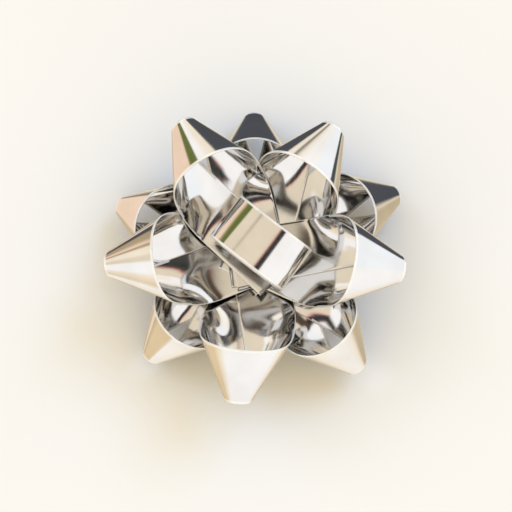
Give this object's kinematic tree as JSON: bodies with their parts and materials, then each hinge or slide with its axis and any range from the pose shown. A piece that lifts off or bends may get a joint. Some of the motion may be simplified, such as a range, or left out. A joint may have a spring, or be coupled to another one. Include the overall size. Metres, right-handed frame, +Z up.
{
  "type": "gift bow",
  "caption": "Small pre-made star gift bow of mirror-silver ribbon loops stapled to a round card with an adhesive pad and peel-off liner.",
  "frame": {"origin": "centre of the flat underside, on the outer face of the release liner", "axes": "+Z up the bow's axis, out through the centre loop; +X and +Y across the bow, +Y towards the narrow gap between the two highest upper loops"},
  "size_m": [0.0256, 0.0259, 0.0105],
  "materials": {
    "ribbon": "mirror metallised film, both faces",
    "staple_wire": "bright wire",
    "card": "uncoated white card",
    "foam": "white closed-cell foam with adhesive faces",
    "liner_paper": "silicone-coated release paper"
  },
  "bodies": {
    "bow": {"lower_loop_1": "ribbon", "lower_loop_2": "ribbon", "lower_loop_3": "ribbon", "lower_loop_4": "ribbon", "lower_loop_5": "ribbon", "upper_loop_1": "ribbon", "upper_loop_2": "ribbon", "upper_loop_3": "ribbon", "upper_loop_4": "ribbon", "upper_loop_5": "ribbon", "centre_loop": "ribbon", "staple": "staple_wire", "base_card": "card", "adhesive_pad": "foam"},
    "liner": {"release_liner": "liner_paper"}
  },
  "joints": [
    {"name": "liner_peel", "type": "slide", "parent": "bow", "child": "liner", "axis": [0, 0, -1], "range_m": [0, 0.03]}
  ]
}
